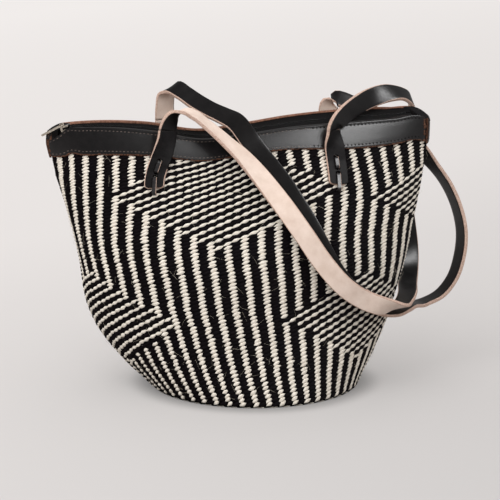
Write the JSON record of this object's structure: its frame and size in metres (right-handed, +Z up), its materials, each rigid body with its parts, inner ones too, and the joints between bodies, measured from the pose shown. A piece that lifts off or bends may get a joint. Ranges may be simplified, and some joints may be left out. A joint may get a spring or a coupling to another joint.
{
  "type": "kiondo basket",
  "caption": "Woven sisal basket bag with a round base, a long zipped mouth between leather rim bands, and two laced leather strap handles that swing",
  "frame": {"origin": "centre of the flat base's underside", "axes": "+X runs along the mouth to the viewer's right, +Y to the back, +Z up"},
  "size_m": [0.4281, 0.2099, 0.3008],
  "materials": {
    "sisal": "coarse twined weave, pale and black stripes",
    "black_leather": "smooth black leather",
    "strap_leather": "black grain side, pale flesh side",
    "tape_cloth": "black woven tape",
    "coil_plastic": "black nylon coil",
    "pull_metal": "pale antique metal"
  },
  "bodies": {
    "basket": {"woven_basket": "sisal", "front_rim_band": "black_leather", "rear_rim_band": "black_leather", "front_zip_tape": "tape_cloth", "rear_zip_tape": "tape_cloth", "front_zip_coil": "coil_plastic", "rear_zip_coil": "coil_plastic", "zip_slider": "pull_metal", "front_left_strap_end": "strap_leather", "front_right_strap_end": "strap_leather", "rear_left_strap_end": "strap_leather", "rear_right_strap_end": "strap_leather", "front_left_lace": "black_leather", "front_right_lace": "black_leather", "rear_left_lace": "black_leather", "rear_right_lace": "black_leather"},
    "front_loop": {"front_handle": "strap_leather"},
    "rear_loop": {"rear_handle": "strap_leather"},
    "pull": {"zip_pull": "pull_metal"}
  },
  "joints": [
    {"name": "front_handle_swing", "type": "hinge", "parent": "basket", "child": "front_loop", "pos_m": [-0.08737, -0.03702, 0.26268], "axis": [1, 0, -0.0065], "range_deg": [0, 2]},
    {"name": "rear_handle_swing", "type": "hinge", "parent": "basket", "child": "rear_loop", "pos_m": [-0.08737, 0.03598, 0.26162], "axis": [-1, 0, 0], "range_deg": [0, 2]},
    {"name": "pull_turn", "type": "hinge", "parent": "basket", "child": "pull", "pos_m": [-0.19003, 0, 0.26301], "axis": [-0.2079, 0.9781, 0], "range_deg": [0, 150]}
  ]
}
